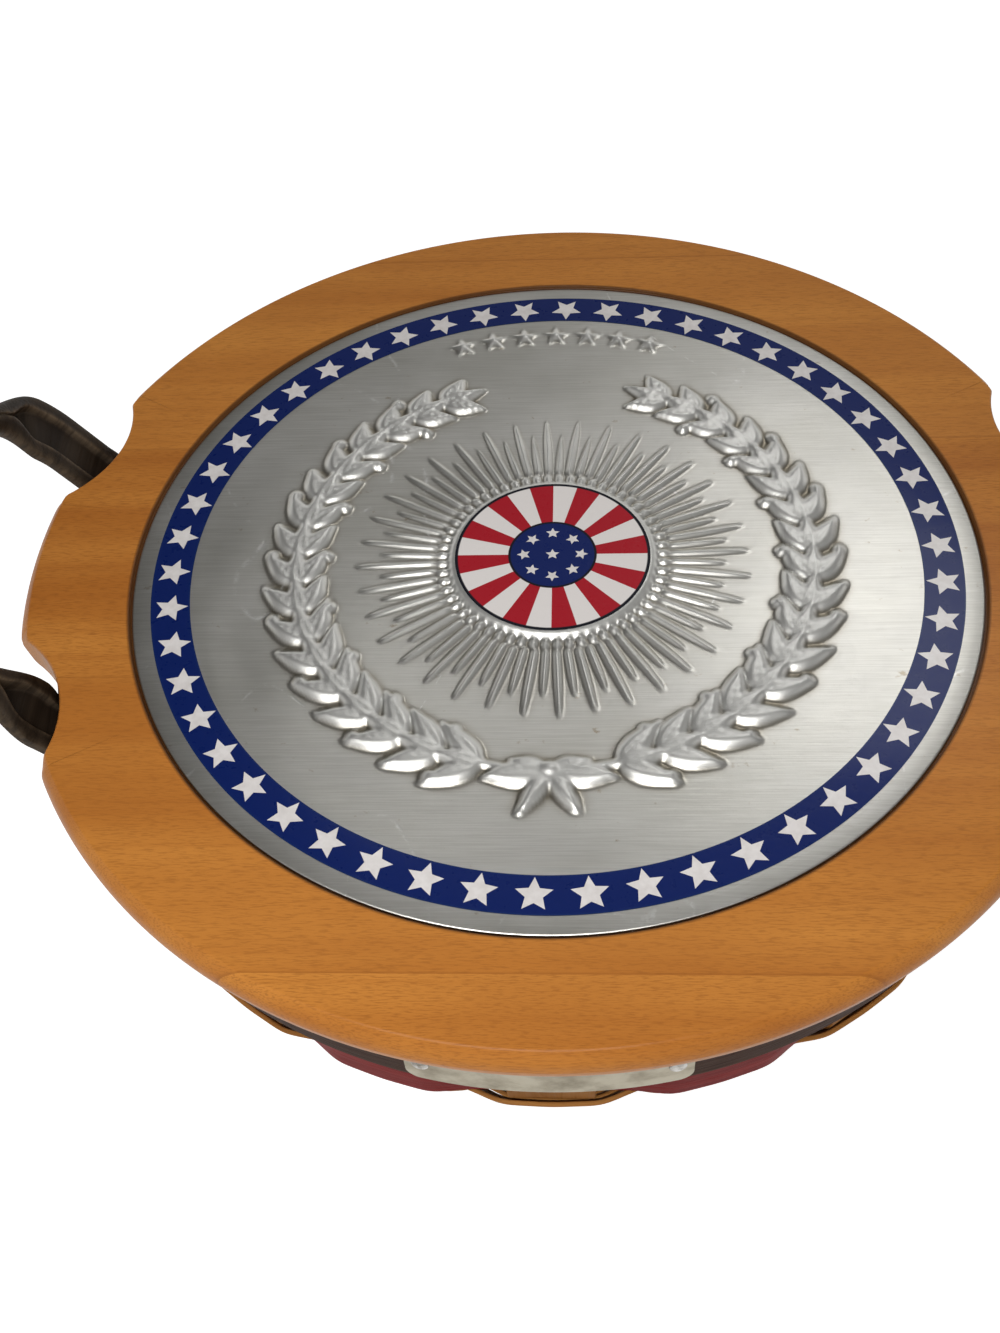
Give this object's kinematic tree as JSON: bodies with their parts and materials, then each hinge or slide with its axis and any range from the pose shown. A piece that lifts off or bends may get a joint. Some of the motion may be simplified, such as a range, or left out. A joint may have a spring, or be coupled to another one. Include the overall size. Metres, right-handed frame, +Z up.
{
  "type": "lidded woven splint basket",
  "caption": "Round woven splint basket with a notched wooden lid, an inset embossed metal plate and leather ear handles on the rim.",
  "frame": {"origin": "under the middle of the base, on the surface the basket stands on", "axes": "+Z up, the handles stand at +X and -X, the front with its metal tag faces -Y"},
  "size_m": [0.3704, 0.322, 0.198],
  "materials": {
    "honey_splint": "satin lacquered splint, honey brown",
    "honey_weaver": "satin lacquered splint, light honey brown",
    "red_weaver": "red stained splint, satin",
    "dark_band": "dark walnut stained band, satin",
    "lid_wood": "clear lacquered honey maple board, satin",
    "disc_wood": "plain sanded birch plywood",
    "plate_metal": "brushed and clear coated sheet with printed ring",
    "tag_metal": "matte bare sheet",
    "steel": "plain steel",
    "brass": "aged brass",
    "leather": "dark brown oiled leather, worn at the raw edges"
  },
  "bodies": {
    "basket": {"splint_1": "honey_splint", "splint_2": "honey_splint", "splint_3": "honey_splint", "splint_4": "honey_splint", "splint_5": "honey_splint", "splint_6": "honey_splint", "splint_7": "honey_splint", "splint_8": "honey_splint", "splint_9": "honey_splint", "splint_10": "honey_splint", "wall_weaver_1": "red_weaver", "wall_weaver_2": "honey_weaver", "wall_weaver_3": "honey_weaver", "wall_weaver_4": "honey_weaver", "wall_weaver_5": "honey_weaver", "wall_weaver_6": "honey_weaver", "wall_weaver_7": "honey_weaver", "base_weaver_1": "honey_weaver", "base_weaver_2": "honey_weaver", "base_weaver_3": "honey_weaver", "inner_band": "honey_splint", "outer_band": "dark_band", "name_tag_blank": "tag_metal", "tag_tack_1": "steel", "tag_tack_2": "steel", "handle_foot_right_rear": "leather", "handle_rivet_right_rear": "brass", "rivet_washer_right_rear": "brass", "handle_foot_right_front": "leather", "handle_rivet_right_front": "brass", "rivet_washer_right_front": "brass", "handle_foot_left_rear": "leather", "handle_rivet_left_rear": "brass", "rivet_washer_left_rear": "brass", "handle_foot_left_front": "leather", "handle_rivet_left_front": "brass", "rivet_washer_left_front": "brass"},
    "lid": {"lid_board": "lid_wood", "lid_plate": "plate_metal", "locating_disc": "disc_wood", "disc_screw_1": "steel", "disc_screw_2": "steel", "disc_screw_3": "steel", "disc_screw_4": "steel"},
    "handle_right": {"handle_right": "leather"},
    "handle_left": {"handle_left": "leather"}
  },
  "joints": [
    {"name": "lid_lift", "type": "slide", "parent": "basket", "child": "lid", "axis": [0, 0, 1], "range_m": [0, 0.15]},
    {"name": "handle_right_swing", "type": "hinge", "parent": "basket", "child": "handle_right", "pos_m": [0.1506, 0, 0.1506], "axis": [0, 1, 0], "range_deg": [-35, 55]},
    {"name": "handle_left_swing", "type": "hinge", "parent": "basket", "child": "handle_left", "pos_m": [-0.1506, 0, 0.1506], "axis": [0, -1, 0], "range_deg": [-35, 55]}
  ]
}
